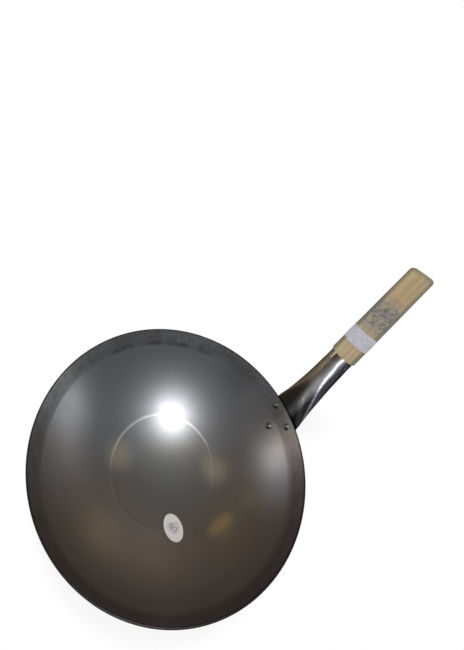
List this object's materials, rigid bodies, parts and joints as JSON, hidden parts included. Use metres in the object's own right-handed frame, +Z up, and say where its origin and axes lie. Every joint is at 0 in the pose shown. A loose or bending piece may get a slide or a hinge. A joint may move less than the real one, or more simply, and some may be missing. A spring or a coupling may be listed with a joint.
{
  "type": "wok",
  "caption": "Round-bottomed carbon steel wok with a riveted, upward-pointing tube socket that holds a turned wooden grip.",
  "frame": {"origin": "lowest point of the round bottom's underside, on the bowl's axis", "axes": "+Z up, out of the bowl's mouth; +X from the bowl's centre towards the handle, which rises away from the rim in the XZ plane"},
  "size_m": [0.488, 0.3556, 0.3567],
  "materials": {
    "bowl_steel": "oiled dark carbon steel with fine concentric lines",
    "socket_steel": "bright, lightly brushed steel sheet",
    "rivet_steel": "bright domed heads",
    "nail_steel": "plain bright nail",
    "grip_wood": "smooth turned pale wood, lightly sealed",
    "label_paper": "matte white paper"
  },
  "bodies": {
    "root": {"bowl": "bowl_steel", "handle_socket": "socket_steel", "rivets": "rivet_steel", "wooden_grip": "grip_wood", "grip_nail": "nail_steel", "bowl_label": "label_paper", "grip_label": "label_paper"}
  },
  "joints": []
}
